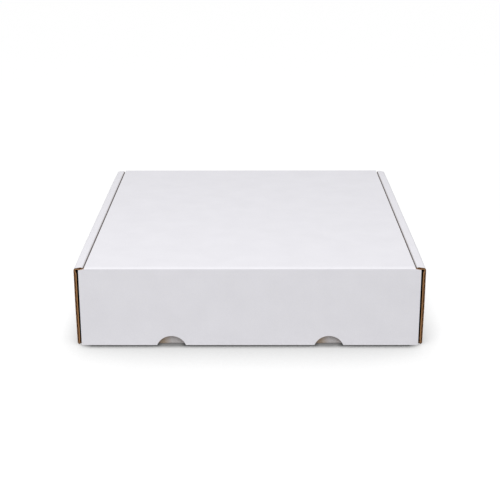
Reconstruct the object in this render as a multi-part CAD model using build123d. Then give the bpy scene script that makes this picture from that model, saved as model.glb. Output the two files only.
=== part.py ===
from build123d import *
import os

# A flat white mailing box, folded from one die-cut sheet of corrugated board.
# The tray has double roll-over side walls, locked by tabs in slots of the bottom.
# The lid folds on the top of the rear wall and lies between the side walls, and
# its front flap hangs outside the front wall down to the table.
# X is across the front, Y runs from the front to the rear, Z is up.
# The origin is on the table, under the middle of the closed box.

# Clear space inside the closed box
inside_width = 301.0
inside_depth = 350.0
inside_height = 69.5

# Board and folds
board = 2.7                 # thickness of the corrugated board
fold_radius = 1.7           # radius of a fold on its outer face, its inner face is sharp
panel_lap = 1.0             # straight board drawn on past the end of a fold
layer_gap = 0.1             # air between layers of board that lie on each other

# Side walls, which roll over and down inside the box
side_rise = 0.4             # how far their tops stand above the lid
side_lean = 0.7             # how far their outer layer leans out at the top
cavity_gap = 0.2            # air on each side of a corner flap inside them
front_setback = 0.1         # their front ends lie behind the front wall's face
rear_setback = 2.4          # their rear ends lie before the rear wall's face
inner_wall_gap = 0.3        # air between an inner layer and the walls at its ends

# Tabs below the inner layers, and their slots in the bottom
tab_width = 60.0
tab_spacing = 176.0         # between the middles of the two tabs on a side
tab_corner = 1.8            # radius of a tab's lower corners
tab_corner_share = 0.9      # and never more than this share of its depth
tab_setback = 0.3           # a tab ends this far above the table
slot_gap = 0.15             # air in the thickness of a slot
slot_end_gap = 0.5          # air at each end of a slot

# Corner flaps, folded back from the front and rear walls into the side walls
corner_flap_length = 86.0
corner_flap_round = 14.0    # radius of their free corners
corner_relief = 0.6         # air between their lower edge and the bottom

# Lid and its front flap
lid_side_gap = 0.6          # groove between the lid and a side wall
flap_gap = 0.3              # air between the front flap and the front wall
flap_side_gap = 1.15        # air between the flap's edge and a side wall's foot
flap_clear = 0.4            # the flap's lower edge hangs this far above the table
shoulder_drop = 0.5         # the flap's shoulders start this far below the lid's top
shoulder_slope = 1.1        # and drop this much more at the flap's side edges
hinge_gap = 0.1             # air round the rounded end of a hinged panel

# Half-moon finger notches in the front flap's lower edge
notch_radius = 14.3
notch_height = 9.0
notch_spacing = 145.0       # between the middles of the two notches

# Heights
lid_under = board + inside_height
lid_top = lid_under + board
wall_top = lid_under - layer_gap
hinge_height = lid_top - board / 2
side_top = lid_top + side_rise

# Places across the box, from its middle plane
inner_face = inside_width / 2
corner_flap_face = inner_face + board + cavity_gap
corner_face = corner_flap_face + board
outer_wall_face = corner_face + cavity_gap
side_face = outer_wall_face + board
lid_half = inner_face - lid_side_gap
flap_half = outer_wall_face - flap_side_gap
bottom_half = side_face - fold_radius - panel_lap
wall_half = corner_face - fold_radius - panel_lap

# Places along the box, with the front flap's outer face first
overall_depth = inside_depth + 3 * board + flap_gap
flap_front = -overall_depth / 2
wall_front = flap_front + board + flap_gap
inside_front = wall_front + board
inside_rear = inside_front + inside_depth
wall_rear = inside_rear + board
side_front = wall_front + front_setback
side_rear = wall_rear - rear_setback
middle = (inside_front + inside_rear) / 2
tab_places = [middle - tab_spacing / 2, middle + tab_spacing / 2]

# Fold lines that work as hinges
front_hinge_y = flap_front + board / 2
rear_hinge_y = wall_rear - board / 2


def block(x, y, z):
    """A straight piece of board between two limits along each axis"""
    size = Box(x[1] - x[0], y[1] - y[0], z[1] - z[0])
    return Pos((x[0] + x[1]) / 2, (y[0] + y[1]) / 2, (z[0] + z[1]) / 2) * size


def folded(points, inside, plane, length):
    """Board whose outer face follows a line, rounded at each fold, run out square to its plane"""
    strip = offset(Polyline(*points), board, kind=Kind.INTERSECTION, side=inside)
    section = make_face(strip)
    folds = [section.vertices().sort_by_distance(point)[0] for point in points[1:-1]]
    return extrude(plane * fillet(folds, fold_radius), amount=length)


def both_sides(piece):
    """A piece of the right-hand side with its mirror image on the left"""
    return [piece, mirror(piece, about=Plane.YZ)]


def end_wall(face, inward, top):
    """Front or rear wall with its lower fold and its two corner flaps"""
    section = [(face + inward * (fold_radius + panel_lap), 0), (face, 0), (face, top)]
    wall_inside = Side.RIGHT if inward > 0 else Side.LEFT
    wall = folded(section, wall_inside, Plane.YZ.offset(-wall_half), 2 * wall_half)

    flap_end = face + inward * (board + corner_flap_length)
    plan = [(wall_half, face), (corner_face, face), (corner_face, flap_end)]
    flap_inside = Side.LEFT if inward > 0 else Side.RIGHT
    flap_foot = board + corner_relief
    flap = folded(plan, flap_inside, Plane.XY.offset(flap_foot), top - flap_foot)
    free_end = flap.faces().sort_by(Axis.Y)[-1 if inward > 0 else 0]
    flap = fillet(free_end.edges().filter_by(Axis.X), corner_flap_round)
    return [wall, *both_sides(flap)]


def side_wall():
    """Outer layer, top strip and inner layer with its tabs, on the right-hand side"""
    inner_top = wall_top + layer_gap
    section = [
        (bottom_half, 0),
        (side_face, 0),
        (side_face + side_lean, side_top),
        (inner_face, side_top),
        (inner_face, inner_top),
    ]
    front_plane = Plane(origin=(0, side_rear, 0), x_dir=(1, 0, 0), z_dir=(0, -1, 0))
    roll = folded(section, Side.LEFT, front_plane, side_rear - side_front)
    inner = block(
        (inner_face, inner_face + board),
        (inside_front + inner_wall_gap, inside_rear - inner_wall_gap),
        (board + layer_gap, inner_top),
    )
    return [roll, inner, *[tab(y) for y in tab_places]]


def tab(y):
    """Locking tab below the inner layer, with rounded lower corners"""
    piece = block(
        (inner_face, inner_face + board),
        (y - tab_width / 2, y + tab_width / 2),
        (tab_setback, board + layer_gap),
    )
    lower_face = piece.faces().sort_by(Axis.Z)[0]
    corner = min(tab_corner, tab_corner_share * (board - tab_setback))
    return fillet(lower_face.edges().filter_by(Axis.X), corner)


def bottom():
    """Bottom panel with a slot for each tab"""
    panel = block(
        (-bottom_half, bottom_half),
        (wall_front + fold_radius, wall_rear - fold_radius),
        (0, board),
    )
    slot_half = tab_width / 2 + slot_end_gap
    for y in tab_places:
        slot = block(
            (inner_face - slot_gap, inner_face + board + slot_gap),
            (y - slot_half, y + slot_half),
            (-board, 2 * board),
        )
        for cut in both_sides(slot):
            panel -= cut
    return panel


def make_tray():
    """Bottom and four walls, all one folded sheet"""
    pieces = end_wall(wall_front, 1, wall_top) + end_wall(wall_rear, -1, wall_top)
    for piece in side_wall():
        pieces += both_sides(piece)
    return bottom().fuse(*pieces).clean()


def make_lid():
    """Lid panel, rounded where it folds on the rear wall and hollow where its flap folds"""
    flat_front = front_hinge_y + board / 2 + hinge_gap
    panel = block((-lid_half, lid_half), (front_hinge_y, rear_hinge_y), (lid_under, lid_top))
    panel -= block((-lid_half, lid_half), (flap_front, flat_front), (lid_under, hinge_height))
    panel -= rod(front_hinge_y, board / 2 + hinge_gap, lid_half)
    return (panel + rod(rear_hinge_y, board / 2, lid_half)).clean()


def rod(y, radius, half_length):
    """Round bar along a hinge line"""
    return Pos(0, y, hinge_height) * Rot(0, 90, 0) * Cylinder(radius, 2 * half_length)


def make_front_flap():
    """Front flap with its rounded fold, sloping shoulders and two finger notches"""
    shoulder = lid_top - shoulder_drop
    shoulder_start = lid_half + hinge_gap
    with BuildLine() as edge:
        Polyline(
            (-flap_half, flap_clear),
            (flap_half, flap_clear),
            (flap_half, shoulder - shoulder_slope),
            (shoulder_start, shoulder),
            (shoulder_start, hinge_height),
            (-shoulder_start, hinge_height),
            (-shoulder_start, shoulder),
            (-flap_half, shoulder - shoulder_slope),
            close=True,
        )
    notch_middle = flap_clear + notch_height - notch_radius
    outline = make_face(edge.line)
    for x in (-notch_spacing / 2, notch_spacing / 2):
        outline -= Pos(x, notch_middle) * Circle(notch_radius)
    front_plane = Plane(origin=(0, flap_front, 0), x_dir=(1, 0, 0), z_dir=(0, -1, 0))
    panel = extrude(front_plane * outline, amount=-board)
    return (panel + rod(front_hinge_y, board / 2, lid_half)).clean()


os.makedirs("parts", exist_ok=True)
nodes = {"tray": make_tray(), "lid": make_lid(), "front_flap": make_front_flap()}
for name, shape in nodes.items():
    export_step(shape, f"parts/{name}.step")
    box = shape.bounding_box()
    print(name, len(shape.solids()), round(shape.volume), box.min, box.max)
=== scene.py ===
import math

import bpy
from mathutils import Matrix, Vector


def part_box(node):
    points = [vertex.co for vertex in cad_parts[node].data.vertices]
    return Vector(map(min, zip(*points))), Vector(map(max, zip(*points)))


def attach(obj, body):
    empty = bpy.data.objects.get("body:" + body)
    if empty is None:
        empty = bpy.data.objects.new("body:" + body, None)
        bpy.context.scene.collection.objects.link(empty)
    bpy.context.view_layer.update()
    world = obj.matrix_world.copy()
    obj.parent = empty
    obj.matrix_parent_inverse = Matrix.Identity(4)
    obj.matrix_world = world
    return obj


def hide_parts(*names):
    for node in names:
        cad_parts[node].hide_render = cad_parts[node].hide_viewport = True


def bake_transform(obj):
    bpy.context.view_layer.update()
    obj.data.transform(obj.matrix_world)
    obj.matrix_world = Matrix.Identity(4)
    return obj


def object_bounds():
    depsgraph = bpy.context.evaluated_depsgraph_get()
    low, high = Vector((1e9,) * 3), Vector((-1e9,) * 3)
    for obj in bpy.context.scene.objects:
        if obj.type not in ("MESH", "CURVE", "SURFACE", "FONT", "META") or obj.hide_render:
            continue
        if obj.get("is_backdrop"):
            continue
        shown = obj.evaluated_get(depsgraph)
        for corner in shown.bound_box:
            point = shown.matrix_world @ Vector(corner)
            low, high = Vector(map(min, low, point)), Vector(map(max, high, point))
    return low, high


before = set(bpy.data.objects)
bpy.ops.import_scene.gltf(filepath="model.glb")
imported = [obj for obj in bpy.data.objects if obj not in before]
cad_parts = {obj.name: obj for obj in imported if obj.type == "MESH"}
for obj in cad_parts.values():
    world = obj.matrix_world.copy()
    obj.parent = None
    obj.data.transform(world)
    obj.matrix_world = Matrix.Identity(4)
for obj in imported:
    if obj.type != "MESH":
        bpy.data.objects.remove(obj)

# A flat white mailing box of corrugated board, closed, on a white floor.
# The board is built as real board is: an outer liner, a wavy middle layer and an inner liner.
# Each panel is drawn on the flat sheet, where x runs across the flutes and y along them,
# and a place function folds the sheet into the box. Depth goes into the board from its outer face.

mm = 0.001

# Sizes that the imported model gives
cad_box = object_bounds()
tray_low, tray_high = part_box("tray")
lid_low, lid_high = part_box("lid")
flap_low, flap_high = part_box("front_flap")
board = lid_high.z - lid_low.z
lid_half = lid_high.x
lid_top = lid_high.z
lid_under = lid_low.z
flap_front = flap_low.y
wall_front = tray_low.y
wall_rear = tray_high.y
side_top = tray_high.z

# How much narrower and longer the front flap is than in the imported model
flap_trim = 0.15 * mm
flap_drop = 0.1 * mm
flap_half = flap_high.x - flap_trim
flap_foot = flap_low.z - flap_drop

# Sizes of the folded sheet that the boxes don't give
inner_face = 150.95 * mm
side_sag = 1.2 * mm
side_lift = 0.9 * mm
side_lift_reach = 60.0 * mm
side_foot_lean = 0.5 * mm
side_bulge_radius = 900.0 * mm
front_setback = 0.1 * mm
rear_setback = 2.4 * mm
side_front = wall_front + front_setback
side_rear = wall_rear - rear_setback
cavity_gap = 0.05 * mm
side_wall_squeeze = 0.92
corner_flap_squeeze = 0.7
inner_wall_gap = 0.3 * mm
layer_gap = 0.1 * mm
wall_top = lid_under - layer_gap
corner_face = inner_face + board + cavity_gap + corner_flap_squeeze * board
tab_width = 60.0 * mm
tab_spacing = 176.0 * mm
tab_corner = 1.8 * mm
tab_foot = 0.3 * mm
slot_gap = 0.15 * mm
slot_end_gap = 0.5 * mm
corner_flap_length = 86.0 * mm
corner_flap_round = 14.0 * mm
corner_relief = 0.6 * mm
corner_flap_foot = board + corner_relief
notch_radius = 14.3 * mm
notch_height = 9.0 * mm
notch_spacing = 145.0 * mm
notch_shift = 0.35 * mm
shoulder_gap = 0.006 * mm
shoulder_drop = 0.5 * mm
shoulder_slope = 1.1 * mm

# Folds, where the board is pressed thinner
side_fold_radius = 2.1 * mm
side_top_radius = 2.4 * mm
corner_fold_radius = 2.4 * mm
side_fold_press = 0.77
side_top_press = 0.6
lid_fold_radius = 0.55 * mm
lid_fold_press = 0.37
press_reach = 3.5 * mm
crease_out = 5.5 * mm
roll_down_length = 6.0 * mm
roll_down_drop = 0.12 * mm
roll_down_radius = 60.0 * mm

# Layers of the board
outer_liner = 0.4 * mm
inner_liner = 0.9 * mm
medium_sheet = 0.45 * mm
flute_pitch = 6.4 * mm

# How finely the meshes are cut
touch = 0.01 * mm
same_stop = 0.004 * mm
least_step = 0.25 * mm
flute_steps = 6
arc_step = math.radians(12)
press_steps = 4
lift_steps = 5
flap_round_angles = range(0, 90, 10)
tab_corner_angles = (15, 35, 60, 90)
notch_angles = range(-90, 91, 6)
smooth_angle = math.radians(32)


class Line:
    """Straight runs with round corners in a plane, followed by the length along them"""

    def __init__(self, points, radii, side, presses):
        self.side = side
        self.presses = presses
        self.runs = []
        self.folds = []
        self.length = 0.0
        points = [Vector(point) for point in points]
        place = points[0]
        for number, radius in enumerate(radii):
            before = points[number + 1] - points[number]
            after = points[number + 2] - points[number + 1]
            heading = math.atan2(before.y, before.x)
            turn = -before.angle_signed(after)
            reach = radius * math.tan(abs(turn) / 2)
            start = points[number + 1] - before.normalized() * reach
            self.add_run(place, heading, 0.0, (start - place).length)
            if radius < roll_down_radius:
                self.folds.append((self.length, self.length + radius * abs(turn)))
            self.add_run(start, heading, math.copysign(1 / radius, turn), radius * abs(turn))
            place = points[number + 1] + after.normalized() * reach
        last = points[-1] - place
        self.add_run(place, math.atan2(last.y, last.x), 0.0, last.length)

    def add_run(self, start, heading, curve, length):
        """One straight run or one arc"""
        self.runs.append((self.length, start, heading, curve))
        self.length += length

    def at(self, length, depth):
        """Point at a depth below the outer face, the depth being less near a fold"""
        start, place, heading, curve = [run for run in self.runs if run[0] <= length][-1]
        gone = length - start
        end = heading + curve * gone
        if curve:
            x = place.x + (math.sin(end) - math.sin(heading)) / curve
            y = place.y - (math.cos(end) - math.cos(heading)) / curve
        else:
            x = place.x + gone * math.cos(heading)
            y = place.y + gone * math.sin(heading)
        down = depth * self.side
        return x - down * math.sin(end), y + down * math.cos(end)

    def pressed(self, length):
        """Share of the board's thickness that is left at a length"""
        left = 1.0
        for (start, end), press in zip(self.folds, self.presses):
            near = min(max(start - length, length - end, 0.0) / press_reach, 1.0)
            left = min(left, press + (1 - press) * near * near * (3 - 2 * near))
        return left

    def stops(self):
        """Lengths where the line needs an edge across it, at arcs and beside folds"""
        found = []
        for (start, _, _, curve), after in zip(self.runs, self.runs[1:]):
            if curve:
                parts = max(2, math.ceil(abs(curve) * (after[0] - start) / arc_step))
                found += [start + (after[0] - start) * i / parts for i in range(parts + 1)]
        for start, end in self.folds:
            for i in range(1, press_steps + 1):
                away = press_reach * i / press_steps
                found += [start - away, end + away]
        return found


def thinned(stops, fill=()):
    """Sorted stops, with those of fill that aren't too near to one"""
    kept = []
    for stop in sorted(stops):
        if not kept or stop - kept[-1] > same_stop:
            kept.append(stop)
    extra = [value for value in fill if kept[0] < value < kept[-1]]
    extra = [value for value in extra if min(abs(value - stop) for stop in kept) > least_step]
    return sorted(kept + extra)


def flute_stops(low, high):
    """Even steps across the flutes"""
    step = flute_pitch / flute_steps
    return [step * i for i in range(math.ceil(low / step), math.floor(high / step) + 1)]


def flat_wave(x):
    """Depth of the wavy layer's middle"""
    swing = (board - outer_liner - inner_liner - medium_sheet) / 2
    return outer_liner + medium_sheet / 2 + swing * (1 + math.cos(2 * math.pi * x / flute_pitch))


def hollow_push(x):
    """How much deeper the layers below the outer liner lie at the hollow flute of the inner fold"""
    away = min(abs(abs(x) - hollow_place) / hollow_reach, 1.0)
    return hollow_deeper * (1 + math.cos(math.pi * away)) / 2


def tray_wave(x):
    """Depth of the wavy layer's middle in the tray, alike on the left and on the right"""
    return flat_wave(abs(x) - hollow_place) + hollow_push(x)


class Shell:
    """Mesh of closed layers of paper"""

    def __init__(self):
        self.points = []
        self.sheet = []
        self.faces = []
        self.looks = []

    def add_layer(self, columns, rows, inside, place, depths, looks):
        """Closed layer between two depths, over the cells of the sheet that inside() keeps"""
        cells = set()
        for i in range(len(columns) - 1):
            x = (columns[i] + columns[i + 1]) / 2
            for j in range(len(rows) - 1):
                if inside(x, (rows[j] + rows[j + 1]) / 2):
                    cells.add((i, j))
        corners = {}

        def corner(i, j, face):
            if (i, j, face) not in corners:
                x, y, depth = columns[i], rows[j], depths[face](columns[i])
                corners[i, j, face] = len(self.points)
                self.points.append(place(x, y, depth))
                self.sheet.append((x, y, depth))
            return corners[i, j, face]

        for i, j in sorted(cells):
            ring = [(i, j), (i, j + 1), (i + 1, j + 1), (i + 1, j)]
            self.faces.append([corner(*spot, 0) for spot in ring])
            self.faces.append([corner(*spot, 1) for spot in reversed(ring)])
            self.looks += [looks[0](columns[i], rows[j]), looks[1]]
            beside = [(i - 1, j), (i, j + 1), (i + 1, j), (i, j - 1)]
            for spot, after, cell in zip(ring, ring[1:] + ring[:1], beside):
                if cell not in cells:
                    rim = [corner(*after, 0), corner(*spot, 0), corner(*spot, 1), corner(*after, 1)]
                    self.faces.append(rim)
                    self.looks.append(looks[2])

    def piece(self, name):
        """Blender object of the shell"""
        mesh = bpy.data.meshes.new(name)
        mesh.from_pydata(self.points, [], self.faces)
        for material in materials:
            mesh.materials.append(material)
        mesh.polygons.foreach_set("material_index", self.looks)
        mesh.polygons.foreach_set("use_smooth", [True] * len(self.faces))
        mesh.set_sharp_from_angle(angle=smooth_angle)
        flat = mesh.attributes.new("sheet", "FLOAT_VECTOR", "POINT")
        flat.data.foreach_set("vector", [value for point in self.sheet for value in point])
        mesh.update()
        made = bpy.data.objects.new(name, mesh)
        bpy.context.scene.collection.objects.link(made)
        return made


def plain_white(x, y):
    """Look of the lid's and the flap's outer face"""
    return WHITE


def no_push(x):
    """The lid's and the flap's layers are as deep everywhere"""
    return 0.0


def board_piece(
    name, stops, rows, inside, place, wave, outer_look=plain_white, push=no_push, flutes=None
):
    """Corrugated board, whose wavy layer is a piece of its own if flutes() says where it reaches"""
    shell = Shell()
    columns = thinned(stops)
    waved = thinned(stops, flute_stops(stops[0], stops[-1]))
    half = medium_sheet / 2
    outer = (lambda x: 0.0, lambda x: outer_liner)
    inner = (lambda x: board - inner_liner + push(x), lambda x: board)
    middle = (lambda x: wave(x) - half, lambda x: wave(x) + half)
    shell.add_layer(columns, rows, inside, place, outer, (outer_look, KRAFT_PAINTED_SHADE, DARK_CUT))
    shell.add_layer(columns, rows, inside, place, inner, (lambda x, y: KRAFT_PAINTED_SHADE, KRAFT_PAINTED_SHADE, CUT))
    core = Shell() if flutes else shell
    looks = (lambda x, y: FLUTE, FLUTE, DARK_CUT)
    core.add_layer(waved, rows, flutes or inside, place, middle, looks)
    if flutes:
        return shell.piece(name), core.piece(name + "_flutes")
    return shell.piece(name)


def mirrored(values):
    """Values with their negatives"""
    return sorted({-value for value in values} | set(values))


# The tray's lines on the right: a side wall's roll, both end walls and a corner flap's fold
roll = Line(
    [
        (0, 0),
        (tray_high.x - side_foot_lean, 0),
        (tray_high.x, side_top / 2),
        (tray_high.x, side_top - side_sag),
        (inner_face, side_top),
        (inner_face, tab_foot),
    ],
    [side_fold_radius, side_bulge_radius, side_top_radius, side_fold_radius],
    1,
    [side_fold_press, side_top_press, side_fold_press],
)
front_line = Line(
    [(0, 0), (-wall_front, 0), (-wall_front, wall_top)],
    [side_fold_radius],
    1,
    [side_fold_press],
)
rear_line = Line(
    [(0, 0), (wall_rear, 0), (wall_rear, wall_top)],
    [side_fold_radius],
    1,
    [side_fold_press],
)
corner_line = Line(
    [(0, 0), (corner_face, 0), (corner_face, board + corner_flap_length)],
    [corner_fold_radius],
    1,
    [corner_flap_squeeze],
)

# The line of the rear fold, the lid, the front fold and the front flap, seen from the side
cover = Line(
    [
        (-wall_rear, 0),
        (-wall_rear, lid_top),
        (-flap_front - roll_down_length, lid_top),
        (-flap_front, lid_top - roll_down_drop),
        (-flap_front, flap_foot),
    ],
    [lid_fold_radius, roll_down_radius, lid_fold_radius],
    -1,
    [lid_fold_press, lid_fold_press],
)

# Lengths along the tray's lines, and the hollow in a side wall's inner fold
roll_start = roll.folds[0][0]
hollow_shift = 0.6 * mm
hollow_place = sum(roll.folds[2]) / 2 + hollow_shift
hollow_reach = 2.2 * mm
hollow_half = 3.0 * mm
hollow_length = 0.2 * side_lift_reach
hollow_deeper = 0.4 * mm
corner_start = corner_line.folds[0][0]
inner_start = roll.length - (lid_under - tab_foot)
tab_start = roll.length - (board + layer_gap - tab_foot)
tab_places = [
    (wall_front + wall_rear) / 2 - tab_spacing / 2,
    (wall_front + wall_rear) / 2 + tab_spacing / 2,
]
slot_sides = (inner_face - slot_gap, inner_face + board + slot_gap)
slot_half = tab_width / 2 + slot_end_gap

# Lengths along the cover line where its pieces meet
rear_crease_start = cover.folds[0][0] - crease_out
lid_start = cover.folds[0][1] + crease_out
lid_end = cover.runs[3][0] - mm
flap_start = cover.folds[1][1] + crease_out
crease_foot = rear_line.length - (wall_top - rear_crease_start)


def wall_line(y):
    """The end wall's line for a place on the sheet, and where it starts to fold"""
    line = front_line if y < 0 else rear_line
    return line, line.folds[0][0]


def side_limit(y, across):
    """How far from the middle a side wall's layer reaches to the front or to the rear"""
    if across < inner_start:
        return -side_front if y < 0 else side_rear
    return (-wall_front if y < 0 else wall_rear) - board - inner_wall_gap


def near_tab(y):
    """Distance from the middle of the nearest tab"""
    return min(abs(y - place) for place in tab_places)


def in_tray(x, y):
    """Is this part of the flat sheet board, and of the tray?"""
    across, along = abs(x), abs(y)
    line, fold_start = wall_line(y)
    if across > roll_start and along < side_limit(y, across):
        return across < tab_start or near_tab(y) < tab_width / 2
    if across < roll_start and along < fold_start:
        return not (slot_sides[0] < across < slot_sides[1] and near_tab(y) < slot_half)
    if across < corner_start and along > fold_start:
        creased = y > 0 and across < lid_half + shoulder_gap
        return not creased or (across < lid_half and along < crease_foot)
    return across < corner_line.length and along > line.length - (wall_top - corner_flap_foot)


def in_tray_flutes(x, y):
    """Does the tray's wavy layer reach here? It leaves a hole at each end of an inner fold."""
    at_hollow = abs(abs(x) - hollow_place) < hollow_half
    near_end = y < side_front + hollow_length or y > side_rear - hollow_length
    return in_tray(x, y) and not (at_hollow and near_end)


def rounded_end(away, radius):
    """How far a rounded corner stands back, at a distance from the end"""
    left = max(radius - away, 0.0)
    return radius - math.sqrt(radius * radius - left * left)


def strip_lift(y):
    """How much higher a side wall's outer fold is than at its ends"""
    near = min(max(min(side_rear - y, y - side_front) / side_lift_reach, 0.0), 1.0)
    return side_lift * near * near * (3 - 2 * near)


def place_tray(x, y, depth):
    """Folded place of a point of the tray's sheet"""
    across, along = abs(x), abs(y)
    line, fold_start = wall_line(y)
    if across > roll_start - touch and along <= side_limit(y, 0.0) + touch:
        if across > tab_start:
            stand_back = rounded_end(tab_width / 2 - near_tab(y), tab_corner)
            across -= stand_back * (across - tab_start) / (roll.length - tab_start)
        out, up = roll.at(across, depth * side_wall_squeeze * roll.pressed(across))
        up += strip_lift(y) * (up / side_top) * (out - inner_face) / (tray_high.x - inner_face)
        return math.copysign(out, x), y, up
    if across > corner_start and along > fold_start:
        stand_back = rounded_end(corner_line.length - across, corner_flap_round)
        foot = corner_flap_foot + stand_back
        top = wall_top - stand_back
        up = wall_top - (line.length - along)
        up = foot + (top - foot) * (up - corner_flap_foot) / (wall_top - corner_flap_foot)
        out, inward = corner_line.at(across, depth * corner_flap_squeeze)
        reach = (-wall_front if y < 0 else wall_rear) - inward
        return math.copysign(out, x), math.copysign(reach, y), up
    out, up = line.at(along, depth * line.pressed(along) * roll.pressed(across))
    return x, math.copysign(out, y), up


def tray_white(x, y):
    """Look of the tray's outer face, with the front wall's behind the flap and at its corners, each
    with its painted shade
    """
    if y > -front_line.folds[0][0] - touch:
        return WHITE_TRAY_PAINTED_SHADE
    return WHITE_BEHIND_PAINTED_SHADE if abs(x) < corner_start - touch else WHITE_CORNER_PAINTED_SHADE


def make_tray():
    """Bottom, end walls, corner flaps and side walls, all one folded sheet"""
    columns = [0.0, lid_half, lid_half + shoulder_gap, *slot_sides]
    columns += [inner_start, tab_start, roll.length]
    columns += roll.stops() + corner_line.stops() + [corner_line.length]
    round_start = corner_line.length - corner_flap_round
    for angle in flap_round_angles:
        columns.append(round_start + corner_flap_round * math.sin(math.radians(angle)))
    rows = [crease_foot, rear_line.length, side_rear, side_limit(1, roll.length)]
    for i in range(1, lift_steps + 1):
        share = i / lift_steps
        rows += [side_front + share * side_lift_reach, side_rear - share * side_lift_reach]
    rows += rear_line.stops() + [rear_line.length - (wall_top - corner_flap_foot)]
    front_rows = [front_line.length, -side_front, side_limit(-1, roll.length)]
    front_rows += front_line.stops() + [front_line.length - (wall_top - corner_flap_foot)]
    rows += [-row for row in front_rows]
    for place in tab_places:
        for half in (slot_half, tab_width / 2):
            rows += [place - half, place + half]
        for angle in tab_corner_angles:
            half = tab_width / 2 - tab_corner * (1 - math.cos(math.radians(angle)))
            rows += [place - half, place + half]
    columns = [stop for stop in columns if stop < max(roll.length, corner_line.length) + mm]
    stops = mirrored(columns)
    return board_piece(
        "tray_board",
        stops,
        thinned(rows),
        in_tray,
        place_tray,
        tray_wave,
        tray_white,
        hollow_push,
        in_tray_flutes,
    )


def place_cover(x, y, depth):
    """Folded place of a point of the lid or of one of its folds"""
    forward, up = cover.at(y, depth * cover.pressed(y))
    return x, -forward, up


def cover_rows(start, end):
    """Rows of a piece of the cover line"""
    return thinned([start, end] + [stop for stop in cover.stops() if start < stop < end])


def cover_piece(name, start, end):
    """Board as wide as the lid, from one length of the cover line to another"""
    columns = [-lid_half, 0.0, lid_half]
    rows = cover_rows(start, end)
    return board_piece(name, columns, rows, lambda x, y: True, place_cover, flat_wave)


def notch_lift(x):
    """Height of the flap's lower edge over its foot, which isn't zero in a finger notch"""
    beside = abs(abs(x - notch_shift) - notch_spacing / 2)
    rise = math.sqrt(max(notch_radius * notch_radius - beside * beside, 0.0))
    return max(rise - (notch_radius - notch_height), 0.0)


def make_flap():
    """Front flap with its shoulders beside the fold and its two finger notches"""
    shoulder_start = lid_half + shoulder_gap
    shoulder_row = cover.length - (lid_top - flap_foot)
    rows = [shoulder_row, flap_start, (flap_start + cover.length) / 2, cover.length]
    notch_half = math.sqrt(notch_radius ** 2 - (notch_radius - notch_height) ** 2)
    columns = mirrored([0.0, lid_half, shoulder_start, flap_half])
    for angle in notch_angles:
        away = notch_spacing / 2 + notch_half * math.sin(math.radians(angle))
        columns += [notch_shift - away, notch_shift + away]

    def inside(x, y):
        return y > flap_start or abs(x) > shoulder_start

    def place(x, y, depth):
        up = flap_foot + cover.length - y
        if y == shoulder_row:
            out = (abs(x) - shoulder_start) / (flap_half - shoulder_start)
            up = lid_top - shoulder_drop - shoulder_slope * out
        if y == cover.length:
            up = flap_foot + notch_lift(x)
        return x, flap_front + depth, up

    return board_piece("flap_board", sorted(columns), rows, inside, place, flat_wave)


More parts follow.
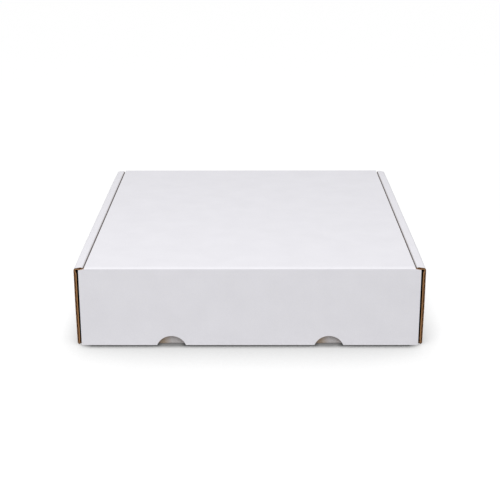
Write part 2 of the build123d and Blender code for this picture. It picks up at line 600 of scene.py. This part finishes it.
class Nodes:
    """Material being built, with short ways to add and join its nodes"""

    def __init__(self, name, roughness):
        self.material = bpy.data.materials.new(name)
        self.material.use_nodes = True
        self.tree = self.material.node_tree
        self.shader = self.tree.nodes["Principled BSDF"]
        self.shader.inputs["Roughness"].default_value = roughness
        self.shader.inputs["Specular IOR Level"].default_value = paper_gloss
        attribute = self.tree.nodes.new("ShaderNodeAttribute")
        attribute.attribute_name = "sheet"
        self.sheet = attribute.outputs["Vector"]

    def add(self, kind, inputs, **settings):
        """Node with its inputs linked or set, and its settings"""
        node = self.tree.nodes.new(kind)
        for key, value in settings.items():
            setattr(node, key, value)
        for key, value in inputs.items():
            if isinstance(value, bpy.types.NodeSocket):
                self.tree.links.new(value, node.inputs[key])
            else:
                node.inputs[key].default_value = value
        return node

    def noise(self, size, stretch=(1, 1, 1), detail=2.0):
        """Noise from 0 to 1 whose blotches are about one size, stretched by three shares"""
        scale = [1 / (size * share) for share in stretch]
        spread = self.add(
            "ShaderNodeVectorMath", {0: self.sheet, 1: scale}, operation="MULTIPLY"
        )
        noise = self.add(
            "ShaderNodeTexNoise", {"Vector": spread.outputs[0], "Scale": 1.0, "Detail": detail}
        )
        return noise.outputs["Fac"]

    def sum(self, *parts):
        """Sum of noises, each with its share"""
        total = 0.0
        for value, share in parts:
            parts = {0: value, 1: share, 2: total}
            total = self.add("ShaderNodeMath", parts, operation="MULTIPLY_ADD").outputs[0]
        return total

    def ramp(self, factor, steps):
        """Colour by a factor, through steps of a place and a colour"""
        ramp = self.add("ShaderNodeValToRGB", {"Fac": factor})
        elements = ramp.color_ramp.elements
        while len(elements) < len(steps):
            elements.new(0.5)
        for element, (place, color) in zip(elements, steps):
            element.position = place
            element.color = (*color, 1)
        return ramp.outputs["Color"]

    def painted_fold_highlight(self):
        """How near a place of the lid is to its front fold, as the share of the painted highlight
        there
        """
        parts = self.add("ShaderNodeSeparateXYZ", {0: self.sheet})
        limits = {"From Min": fold_edge - fold_highlight_reach, "From Max": fold_edge + fold_highlight_reach}
        along = self.add("ShaderNodeMapRange", {"Value": parts.outputs["Y"], **limits})
        return self.ramp(along.outputs["Result"], fold_highlight_steps)

    def beside_notch(self):
        """Brown light on the front wall, on the left in a finger notch while the flap hangs there"""
        parts = self.add("ShaderNodeSeparateXYZ", {0: self.sheet})
        place = parts.outputs["X"]
        for operation, value in (
            ("SUBTRACT", notch_shift),
            ("FLOORED_MODULO", notch_spacing),
            ("DIVIDE", notch_spacing),
        ):
            place = self.add("ShaderNodeMath", {0: place, 1: value}, operation=operation).outputs[0]
        shading_colour = self.ramp(place, notch_light_steps)
        open_air = self.narrow(behind_reach, open_steps)
        mix = self.add("ShaderNodeMix", {0: open_air, 6: shading_colour, 7: (*pure_white, 1)}, data_type="RGBA")
        return mix.outputs[2]

    def color(self, factor, low, high, painted_shading=(), highlight_share=None):
        """Base colour between two, by a factor, with a painted highlight mixed in and painted light
        and shade multiplied in
        """
        color = self.ramp(factor, [(0.3, low), (0.7, high)])
        if highlight_share:
            parts = {0: highlight_share, 6: color, 7: (*fold_highlight_white, 1)}
            color = self.add("ShaderNodeMix", parts, data_type="RGBA").outputs[2]
        for shading_colour in painted_shading:
            parts = {0: 1.0, 6: color, 7: shading_colour}
            mix = self.add("ShaderNodeMix", parts, data_type="RGBA", blend_type="MULTIPLY")
            color = mix.outputs[2]
        self.tree.links.new(color, self.shader.inputs["Base Color"])

    def narrow(self, reach, steps):
        """Colour for how closed in a place is, from ambient occlusion; with darkening steps it is
        painted shade
        """
        occlusion = self.add("ShaderNodeAmbientOcclusion", {"Distance": reach}, samples=8)
        return self.ramp(occlusion.outputs["AO"], steps)

    def bump(self, height, distance):
        """Small relief"""
        bump = self.add("ShaderNodeBump", {"Height": height, "Distance": distance})
        self.tree.links.new(bump.outputs["Normal"], self.shader.inputs["Normal"])


def white_paper(name, reach=0.0, steps=()):
    """Uncoated white paper: clouds, fibres, faint flutes, and a painted highlight at the lid's front
    fold
    """
    made = Nodes(name, white_roughness)
    clouds = made.noise(white_clouds, detail=3.0)
    fibres = made.noise(white_fibres, stretch=(1, 2.6, 1))
    painted_shading = [made.narrow(reach, steps)] if reach else []
    # Painted brown light in the finger notches, only on the paper behind the flap
    if reach == behind_reach:
        painted_shading.append(made.beside_notch())
    made.color(made.sum((clouds, 0.6), (fibres, 0.4)), white_low, white_high, painted_shading, made.painted_fold_highlight())
    turns = (2 * math.pi / flute_pitch, 0, 0)
    phase = made.add("ShaderNodeVectorMath", {0: made.sheet, 1: turns}, operation="DOT_PRODUCT")
    ripple = made.add("ShaderNodeMath", {0: phase.outputs["Value"]}, operation="COSINE")
    made.bump(made.sum((fibres, 0.5), (clouds, 0.5), (ripple.outputs[0], 0.12)), white_relief)
    return made.material


def brown_paper(name, low, high, grain, reach=0.0, steps=()):
    """Unbleached paper: long fibres, clouds and a fine grain, with painted shade in narrow places
    when it has a reach
    """
    made = Nodes(name, brown_roughness)
    clouds = made.noise(brown_clouds, detail=3.0)
    fibres = made.noise(brown_fibres, stretch=(1, 4.0, 1), detail=3.0)
    specks = made.noise(grain, detail=1.0)
    factor = made.sum((clouds, 0.3), (fibres, 0.4), (specks, 0.3))
    made.color(factor, low, high, [made.narrow(reach, steps)] if reach else [])
    made.bump(made.sum((fibres, 0.6), (specks, 0.4)), brown_relief)
    return made.material


# Surface of the papers
paper_gloss = 0.3
white_roughness = 0.72
white_clouds = 26.0 * mm
white_fibres = 0.9 * mm
white_relief = 0.05 * mm
brown_roughness = 0.85
brown_clouds = 14.0 * mm
brown_fibres = 0.7 * mm
brown_relief = 0.08 * mm
kraft_grain = 1.6 * mm
flute_grain = 1.1 * mm
cut_grain = 0.8 * mm

# Colours, in linear light
white_low = (0.772, 0.763, 0.802)
white_high = (0.812, 0.803, 0.843)
kraft_low = (0.300, 0.165, 0.080)
kraft_high = (0.430, 0.255, 0.135)
cut_low = (0.355, 0.177, 0.073)
cut_high = (0.505, 0.277, 0.126)
dark_cut_low = (0.200, 0.085, 0.028)
dark_cut_high = (0.330, 0.160, 0.065)
# Colour of the painted highlight along the lid's front fold
fold_highlight_white = (0.845, 0.836, 0.876)
pure_black = (0.0, 0.0, 0.0)
pure_white = (1.0, 1.0, 1.0)

# The lid's front fold on the sheet, and how far the painted highlight beside it reaches
fold_edge = sum(cover.folds[1]) / 2
fold_highlight_reach = 7.0 * mm
fold_highlight_steps = [(0, pure_black), (0.45, pure_white), (0.55, pure_black)]

# Painted shade: the paper darkened by ambient occlusion in narrow places, where shade falls
narrow_reach = 3.0 * mm
narrow_shade = [(0.35, (0.28, 0.23, 0.19)), (0.60, (0.64, 0.61, 0.58)), (0.85, pure_white)]
# Painted shade on the front wall behind the flap, seen through the finger notches, with a lighter
# band of painted floor light near its foot
behind_reach = 12.0 * mm
behind_shade = [
    (0.12, (0.22, 0.21, 0.20)),
    (0.22, (0.80, 0.77, 0.74)),
    (0.34, (0.58, 0.56, 0.52)),
    (0.75, (0.69, 0.67, 0.64)),
    (1.0, pure_white),
]
# Painted shade, nearly black, on the front wall's corners in the gap beside the flap
corner_reach = 10.0 * mm
corner_shade = [(0.45, (0.02, 0.012, 0.008)), (0.65, (0.40, 0.37, 0.34)), (0.85, pure_white)]
# Painted shade on the kraft paper in narrow places
kraft_shade = [(0.35, (0.07, 0.06, 0.05)), (0.65, (0.35, 0.31, 0.27)), (0.90, pure_white)]
# Painted brown reflected light on the front wall, in the left part of each finger notch
notch_light_colour = (0.86, 0.71, 0.54)
notch_light_steps = [(0.40, pure_white), (0.42, notch_light_colour), (0.45, notch_light_colour), (0.50, pure_white)]
open_steps = [(0.70, pure_black), (0.95, pure_white)]

# The looks, as places in the list of materials
WHITE, WHITE_TRAY_PAINTED_SHADE, WHITE_BEHIND_PAINTED_SHADE, WHITE_CORNER_PAINTED_SHADE, KRAFT_PAINTED_SHADE, FLUTE, CUT, DARK_CUT = range(8)
materials = [
    white_paper("white_paper"),
    white_paper("white_paper_tray_painted_shade", narrow_reach, narrow_shade),
    white_paper("white_paper_behind_flap_painted_shade", behind_reach, behind_shade),
    white_paper("white_paper_corner_painted_shade", corner_reach, corner_shade),
    brown_paper("kraft_liner_painted_shade", kraft_low, kraft_high, kraft_grain, narrow_reach, kraft_shade),
    brown_paper("kraft_flutes", kraft_low, kraft_high, flute_grain),
    brown_paper("cut_edge", cut_low, cut_high, cut_grain),
    brown_paper("dark_cut_edge", dark_cut_low, dark_cut_high, cut_grain),
]

tray_board, tray_board_flutes = make_tray()
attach(tray_board, "tray")
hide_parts("tray")
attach(tray_board_flutes, "tray")

lid_board = cover_piece("lid_board", lid_start, lid_end)
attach(lid_board, "lid")
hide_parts("lid")

flap_board = make_flap()
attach(flap_board, "front_flap")
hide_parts("front_flap")

rear_crease = cover_piece("rear_crease", rear_crease_start, lid_start)
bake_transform(rear_crease)

# The front fold bends in front of the front wall, so that it clears the wall's top
front_crease = cover_piece("front_crease", lid_end, flap_start)
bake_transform(front_crease)

# Floor, white, with a painted shadow close to the box
floor_size = 16.0
floor_drop = 0.15 * mm
floor_white = 0.55
floor_seen_white = 0.3
floor_glow = 0.75
contact_reach = 13.0 * mm
contact_shade = [(0.50, 0.11), (0.57, 0.17), (0.645, 0.33), (0.73, 0.71), (0.80, 0.90), (0.90, 1.0)]
soft_reach = 100.0 * mm
soft_shade = [
    (0.50, 0.67),
    (0.60, 0.70),
    (0.65, 0.765),
    (0.70, 0.815),
    (0.79, 0.895),
    (0.85, 0.94),
    (1.0, 1.0),
]
contact_end = (146.0 * mm, 158.0 * mm)
contact_gap = (13.0 * mm, 8.0 * mm)
contact_left = 0.25
soft_rear = (-180.0 * mm, 60.0 * mm)
soft_end = (160.0 * mm, 187.0 * mm)


def shade(tree, reach, steps):
    """Painted shadow: grey that darkens where something stands within a reach of the floor"""
    occlusion = tree.nodes.new("ShaderNodeAmbientOcclusion")
    occlusion.samples = 8
    occlusion.inputs["Distance"].default_value = reach
    ramp = tree.nodes.new("ShaderNodeValToRGB")
    tree.links.new(occlusion.outputs["AO"], ramp.inputs["Fac"])
    elements = ramp.color_ramp.elements
    while len(elements) < len(steps):
        elements.new(0.5)
    for element, (place, grey) in zip(elements, steps):
        element.position = place
        element.color = (grey, grey, grey, 1)
    return ramp.outputs["Color"]


def away(tree, value, place):
    """Distance of a value from a place"""
    less = tree.nodes.new("ShaderNodeMath")
    less.operation = "SUBTRACT"
    tree.links.new(value, less.inputs[0])
    less.inputs[1].default_value = place
    size = tree.nodes.new("ShaderNodeMath")
    size.operation = "ABSOLUTE"
    tree.links.new(less.outputs[0], size.inputs[0])
    return size.outputs[0]


def faded(tree, grey, value, span, share=1.0):
    """Grey that turns white by a share, while a value goes from the start to the end of a span"""
    reach = tree.nodes.new("ShaderNodeMapRange")
    reach.inputs["From Min"].default_value = span[0]
    reach.inputs["From Max"].default_value = span[1]
    reach.inputs["To Max"].default_value = share
    tree.links.new(value, reach.inputs["Value"])
    mix = tree.nodes.new("ShaderNodeMix")
    mix.data_type = "RGBA"
    mix.inputs[7].default_value = (1, 1, 1, 1)
    tree.links.new(reach.outputs["Result"], mix.inputs[0])
    tree.links.new(grey, mix.inputs[6])
    return mix.outputs[2]


def product(tree, first, second):
    """Two colours multiplied"""
    mix = tree.nodes.new("ShaderNodeMix")
    mix.data_type = "RGBA"
    mix.blend_type = "MULTIPLY"
    mix.inputs[0].default_value = 1.0
    for value, socket in ((first, mix.inputs[6]), (second, mix.inputs[7])):
        if isinstance(value, float):
            socket.default_value = (value, value, value, 1)
        else:
            tree.links.new(value, socket)
    return mix.outputs[2]


def make_floor():
    """Large white plane just below the box"""
    mesh = bpy.data.meshes.new("floor")
    half = floor_size / 2
    corners = [(-half, -half, -floor_drop), (half, -half, -floor_drop)]
    corners += [(half, half, -floor_drop), (-half, half, -floor_drop)]
    mesh.from_pydata(corners, [], [(0, 1, 2, 3)])
    floor = bpy.data.objects.new("floor", mesh)
    bpy.context.scene.collection.objects.link(floor)
    material = bpy.data.materials.new("floor")
    material.use_nodes = True
    tree = material.node_tree
    tree.nodes.clear()
    geometry = tree.nodes.new("ShaderNodeNewGeometry")
    parts = tree.nodes.new("ShaderNodeSeparateXYZ")
    tree.links.new(geometry.outputs["Position"], parts.inputs[0])
    middle = away(tree, parts.outputs["X"], 0.0)
    # Painted contact shadow and soft shadow from ambient occlusion: the contact shadow fades beside
    # the box and is lighter in front of the finger notches, the soft shadow fades towards the rear
    # and beside the box
    contact = faded(tree, shade(tree, contact_reach, contact_shade), middle, contact_end)
    front_only = tree.nodes.new("ShaderNodeMath")
    front_only.operation = "MAXIMUM"
    tree.links.new(away(tree, middle, notch_spacing / 2), front_only.inputs[0])
    tree.links.new(parts.outputs["Y"], front_only.inputs[1])
    contact = faded(tree, contact, front_only.outputs[0], contact_gap, contact_left)
    soft = faded(tree, shade(tree, soft_reach, soft_shade), parts.outputs["Y"], soft_rear)
    soft = faded(tree, soft, middle, soft_end)
    shades = product(tree, contact, soft)
    plain = tree.nodes.new("ShaderNodeBsdfDiffuse")
    plain.inputs["Color"].default_value = (floor_white, floor_white, floor_white, 1)
    seen = tree.nodes.new("ShaderNodeBsdfDiffuse")
    tree.links.new(product(tree, floor_seen_white, shades), seen.inputs["Color"])
    glow = tree.nodes.new("ShaderNodeEmission")
    tree.links.new(shades, glow.inputs["Color"])
    glow.inputs["Strength"].default_value = floor_glow
    both = tree.nodes.new("ShaderNodeAddShader")
    tree.links.new(seen.outputs[0], both.inputs[0])
    tree.links.new(glow.outputs[0], both.inputs[1])
    path = tree.nodes.new("ShaderNodeLightPath")
    pick = tree.nodes.new("ShaderNodeMixShader")
    tree.links.new(path.outputs["Is Camera Ray"], pick.inputs[0])
    tree.links.new(plain.outputs[0], pick.inputs[1])
    tree.links.new(both.outputs[0], pick.inputs[2])
    output = tree.nodes.new("ShaderNodeOutputMaterial")
    tree.links.new(pick.outputs[0], output.inputs["Surface"])
    mesh.materials.append(material)
    floor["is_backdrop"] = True


# Lights, which are a white dome, a wide soft sun and a soft lamp nearer to the box
dome_strength = 0.45
sun_strength = 1.33
sun_width = math.radians(50)
sun_from = Vector((-0.02, -0.56, 1.0))
lamp_place = Vector((-0.14, -0.62, 0.95))
lamp_aim = Vector((0.0, -0.1, 0.05))
lamp_size = 0.6
lamp_power = 3.4


def make_lights():
    """World dome, white to the camera, the soft sun and the soft lamp"""
    world = bpy.data.worlds.new("dome")
    bpy.context.scene.world = world
    world.use_nodes = True
    tree = world.node_tree
    tree.nodes.clear()
    path = tree.nodes.new("ShaderNodeLightPath")
    dome = tree.nodes.new("ShaderNodeBackground")
    dome.inputs["Color"].default_value = (*pure_white, 1)
    dome.inputs["Strength"].default_value = dome_strength
    seen = tree.nodes.new("ShaderNodeBackground")
    seen.inputs["Color"].default_value = (1, 1, 1, 1)
    seen.inputs["Strength"].default_value = 1.0
    pick = tree.nodes.new("ShaderNodeMixShader")
    tree.links.new(path.outputs["Is Camera Ray"], pick.inputs[0])
    tree.links.new(dome.outputs[0], pick.inputs[1])
    tree.links.new(seen.outputs[0], pick.inputs[2])
    output = tree.nodes.new("ShaderNodeOutputWorld")
    tree.links.new(pick.outputs[0], output.inputs["Surface"])

    sun = bpy.data.lights.new("soft_sun", "SUN")
    sun.energy = sun_strength
    sun.angle = sun_width
    lamp = bpy.data.lights.new("soft_lamp", "AREA")
    lamp.shape = "DISK"
    lamp.size = lamp_size
    lamp.energy = lamp_power
    for light, place, aim in ((sun, sun_from, Vector()), (lamp, lamp_place, lamp_aim)):
        made = bpy.data.objects.new(light.name, light)
        made.location = place
        made.rotation_euler = (aim - place).to_track_quat("-Z", "Y").to_euler()
        bpy.context.scene.collection.objects.link(made)


# Camera, fitted to the photograph
camera_place = Vector((4.6, -1151.8, 413.5)) * mm
camera_pitch = math.radians(18.261)
camera_yaw = math.radians(-0.251)
camera_roll = math.radians(-0.111)
photo_width = 500
focal_pixels = 1141.8
sensor_width = 36.0


def make_camera():
    """Camera of the photograph"""
    data = bpy.data.cameras.new("camera")
    data.sensor_width = sensor_width
    data.lens = focal_pixels / photo_width * sensor_width
    camera = bpy.data.objects.new("camera", data)
    turn = Matrix.Rotation(-camera_yaw, 4, "Z")
    tilt = Matrix.Rotation(math.pi / 2 - camera_pitch, 4, "X")
    roll_turn = Matrix.Rotation(camera_roll, 4, "Z")
    camera.matrix_world = Matrix.Translation(camera_place) @ turn @ tilt @ roll_turn
    bpy.context.scene.collection.objects.link(camera)
    bpy.context.scene.camera = camera


make_floor()
make_lights()
make_camera()
bpy.context.scene.view_settings.view_transform = "Standard"

boxes = {"cad": cad_box, "visual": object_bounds()}
{key: [list(corner) for corner in box] for key, box in boxes.items()}
